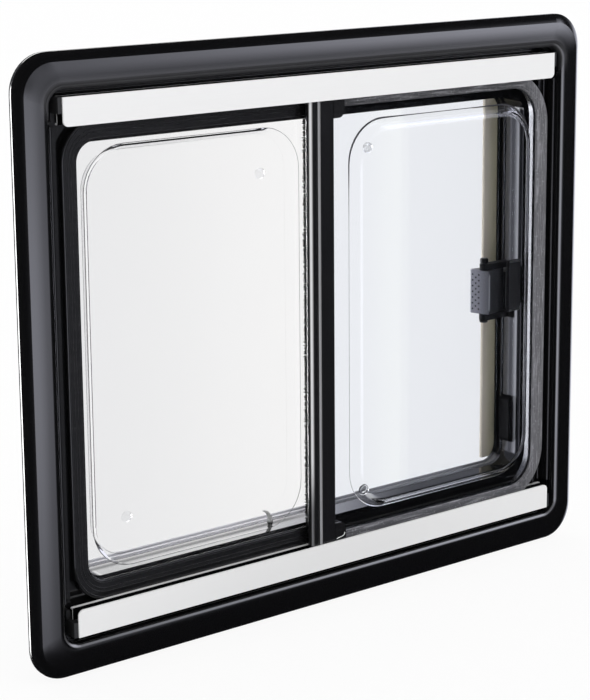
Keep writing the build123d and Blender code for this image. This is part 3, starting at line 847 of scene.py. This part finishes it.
# The bead is a painted highlight.
bead = [Vector((FOLD_X + 0.8 * MM, grip_low.y + 1.0 * MM, z)) for z in heights]
radii = [(1.3 if 0 < k < BEAD_STEPS else 0.8) * MM for k in range(BEAD_STEPS + 1)]
make_piece("grip_fold_bead", *swept(bead, radii, False, 12), painted_fold_highlight, "latch_grey")
print("fold bead", round(bead_long / MM, 1), "mm")

# %% [markdown]
# ## Spring and pad of the latch
# Behind the cheek a bent leaf spring runs from the base to the grip and closes the slot between them. A thin
# bonding pad sits in the sheet before the base. Both are leaves: a line seen from above, made thick and drawn
# upwards.


# %% Leaf spring and bonding pad
def leaf(name, plan, thick, z0, z1, finish):
    """A bent leaf: a plan line in X and Y, made thick and drawn up from z0 to z1."""
    points, faces = [], []
    for i, spot in enumerate(plan):
        along = (plan[min(i + 1, len(plan) - 1)] - plan[max(i - 1, 0)]).normalized()
        side = Vector((-along.y, along.x, 0)) * thick / 2
        points += [spot + side + Vector((0, 0, z0)), spot - side + Vector((0, 0, z0)),
                   spot - side + Vector((0, 0, z1)), spot + side + Vector((0, 0, z1))]
    end = 4 * (len(plan) - 1)
    for i in range(0, end, 4):
        faces += [(i + k, i + (k + 1) % 4, i + 4 + (k + 1) % 4, i + 4 + k) for k in range(4)]
    faces += [(3, 2, 1, 0), (end, end + 1, end + 2, end + 3)]
    return make_piece(name, points, faces, finish, "latch_black", smooth=False)


base_low, base_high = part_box("latch_base")
spring = [Vector((base_high.x - a * MM, b * MM, 0))
          for a, b in ((15.8, 2.6), (14.4, 3.2), (12.8, 4.2), (11.2, 5.6), (9.6, 7.4), (8.4, 9.6))]
pad = [Vector((base_high.x - a * MM, base_low.y - 0.12 * MM, 0)) for a in (15.4, 12.0, 8.0, 4.0, 0.6)]
leaf("latch_leaf_spring", spring, 0.8 * MM, grip_low.z + 3 * MM, grip_high.z - 3 * MM, stud_black)
leaf("latch_bond_pad", pad, 0.1 * MM, base_high.z - 49 * MM, base_high.z - 2 * MM, latch_black)
print("leaves", len(spring), "and", len(pad), "points")

# %% [markdown]
# ## Knobs of the hinge pin
# A round knob closes the upper end of the hinge pin, and a flat one the lower end. Each is a bead along the
# pin whose thickness swells and closes, with its heights measured from the end of the pin.

# %% Hinge knobs
KNOB_RADII = (3.2, 3.4, 4.2, 4.2, 3.7, 2.6)
ROUND_KNOB, FLAT_KNOB = (-2.1, -1.4, -0.6, 2.4, 3.4, 3.9), (2.1, 1.6, 0.9, 0.3, -0.2, -0.5)
pin_low, pin_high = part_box("latch_pin")
pin_x, pin_y = (pin_low.x + pin_high.x) / 2, (pin_low.y + pin_high.y) / 2
knobs = []
for end, rises in ((pin_high.z, ROUND_KNOB), (pin_low.z, FLAT_KNOB)):
    knob = [Vector((pin_x, pin_y, end + rise * MM)) for rise in rises]
    knobs.append(swept(knob, [r * MM for r in KNOB_RADII], False, 16))
make_piece("latch_knobs", *joined(knobs), latch_black, "latch_black")
print("knobs", len(knobs))

# %% [markdown]
# ## Clips
# A bent white wire holds the lower slide shoe to the sash. It lies on the shoe's face just above the rail.
# The clip on the sill is a curved hook that thins towards its tip; it takes the place of the plain solid.

# %% Clips
HOOK = ((0.8, 12.4), (2.8, 12.0), (4.8, 10.9), (6.6, 9.1), (8.0, 6.9), (8.9, 4.5), (9.3, 2.2), (9.3, 0.1))
HOOK_RADII = (0.4, 0.9, 1.3, 1.7, 2.0, 2.2, 2.3, 2.8)
WIRE = ((1.2, 1.6), (3.5, 2.0), (6.0, 2.4), (8.5, 2.9), (10.0, 3.6), (10.6, 5.0), (10.9, 6.2))
WIRE_RADII = (0.5, 0.55, 0.45, 0.5, 0.55, 0.55, 0.4)
clip_low, clip_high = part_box("sill_clip")
clip_y = (clip_low.y + clip_high.y) / 2
hook = [Vector((clip_low.x + a * MM, clip_y, clip_low.z + b * MM)) for a, b in HOOK]
hook_mesh = swept(hook, [r * MM for r in HOOK_RADII], False, 12)
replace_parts(make_piece("sill_clip_hook", *hook_mesh, white_clip, "clip_white"), "sill_clip")
shoe_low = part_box("sash_slide_shoes")[0]
rail_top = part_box("bottom_rail")[1].z
wire = [Vector((shoe_low.x + a * MM, shoe_low.y + 0.3 * MM, rail_top + b * MM)) for a, b in WIRE]
make_piece("shoe_clip_wire", *swept(wire, [r * MM for r in WIRE_RADII], False), white_clip, "clip_white")
print("clips", len(hook), "and", len(wire), "points")

# %% [markdown]
# ## Studio
# The window stands on a pale floor before a white background. Two large soft lights stand in front of it, one
# straight ahead and low, one high on the right, with a weaker one between them that carries the sheen round
# the upper left corner. The rest of the room in front is dark, which keeps the right and lower faces of the
# frame black. A narrow bright light at the back left draws the white line along the rim. All of it is painted
# into the world as soft patches, because then the sheen on the swelling frame fades smoothly. A patch is a
# band of turn, the angle round the window from straight ahead, times a band of lift, the angle above the
# level, both in radians. Matt surfaces see an even fill instead, and the world is white to the camera,
# straight through the panes, and in reflections of what lies behind the window, brighter above the sill. The
# lights in front have a cool tone, and the rest is plain white.


# %% World
LOW_LIGHT, BRIDGE_LIGHT, HIGH_LIGHT, KICK_LIGHT = 3.3, 1.0, 5.0, 17.0
FILL, KICK_FILL = 1.12, 2.0
DARK_ROOM, WHITE_BACK = 0.015, 1.1
SILL_TURN = (2.43, 2.54)
COOL, WHITE = (0.95, 0.965, 1.1), (1.0, 1.0, 1.0)


def straight_through(n):
    """1 for what the camera sees by itself or straight through clear pieces, with no mirror on the way."""
    turned_back = (n.ray("Ray Depth") - n.ray("Transmission Depth")) & 1.0
    return n.ray("Is Camera Ray") | (n.ray("Is Transmission Ray") * (1.0 - turned_back))


def world_light():
    world = bpy.data.worlds.new("studio")
    scene.world = world
    world.use_nodes = True
    n = Nodes(world.node_tree)
    way = n.node("ShaderNodeTexCoord", out="Generated")
    x, y, z = (n.node("ShaderNodeSeparateXYZ", None, {0: way}, k) for k in "XYZ")
    turn = n.node("ShaderNodeMath", {"operation": "ARCTAN2"}, {0: x, 1: 0.0 - y})
    lift = n.node("ShaderNodeMath", {"operation": "ARCSINE"}, {0: z})
    low = turn.band(-0.62, -0.36, 0.06, 0.62) * lift.band(-0.52, -0.24, -0.24, 0.08)
    bridge = turn.band(0.0, 0.3, 0.4, 0.7) * lift.band(-0.18, 0.1, 0.15, 0.4)
    high = turn.band(0.40, 0.86, 1.1, 1.4) * lift.band(-0.09, 0.30, 0.46, 0.70)
    kick = turn.band(-3.0, -2.88, -2.60, -2.42) * lift.band(-0.55, -0.42, 0.02, 0.15)
    sill = lift.rise(0.08, 0.22) * turn.rise(*SILL_TURN, -0.75, 2.6)
    back = y.rise(0.0, 0.25)
    behind = DARK_ROOM + back * lift.rise(-0.50, -0.36) * (WHITE_BACK + sill)
    front = LOW_LIGHT * low + BRIDGE_LIGHT * bridge + HIGH_LIGHT * high
    gloss = behind | front | (KICK_LIGHT * kick)
    fill = FILL + KICK_FILL * kick
    soft = n.ray("Diffuse Depth") & 1.0
    straight = straight_through(n)
    level = straight | (soft * fill + (1.0 - soft) * gloss)
    plain = ((20.0 * kick) & 1.0) | (back * turn.rise(*SILL_TURN))
    tone = n.blend(straight | soft | plain, COOL, WHITE)
    sky = n.node("ShaderNodeBackground", None, {0: tone, 1: level})
    world.cycles.sampling_method = "NONE"
    end = n.tree.nodes.new("ShaderNodeOutputWorld")
    n.tree.links.new(sky.socket, end.inputs[0])


world_light()
print("world", scene.world.name)

# %% [markdown]
# ## Floor
# The floor is pale and carries the window's soft shadow. To the camera and straight through the panes it is
# mixed with white, so the background stays white and the shadow stays visible. It isn't mirrored in the black
# frame, as the photograph shows no floor there.


# %% Floor
FLOOR_SIDE, FLOOR_Z, WHITE_SHARE = 40.0, -0.0105, 0.9


def floor_finish():
    f = Finish("pale_floor", Roughness=0.9)
    f.give(Base_Color=f.blend(f.noise(3.0, 2.0), (0.84, 0.84, 0.84), (0.86, 0.86, 0.86)))
    white = f.node("ShaderNodeEmission", None, {0: WHITE, 1: 1.0})
    straight = straight_through(f)
    matt = Wire(f, f.base.outputs[0])
    lit = f.node("ShaderNodeMixShader", None, {0: WHITE_SHARE * straight, 1: matt, 2: white})
    mirrored = f.ray("Is Transmission Ray") * (1.0 - straight)
    seen = f.node("ShaderNodeMixShader", None, {0: mirrored, 1: lit, 2: f.node("ShaderNodeBsdfTransparent")})
    f.tree.links.new(seen.socket, f.end.inputs[0])
    return f.material


bpy.ops.mesh.primitive_plane_add(size=FLOOR_SIDE, location=(0, 0, FLOOR_Z))
floor = bpy.context.object
floor.name = "studio_floor"
floor.data.materials.append(floor_finish())
floor.visible_glossy = False
print("floor", floor.name)

# %% [markdown]
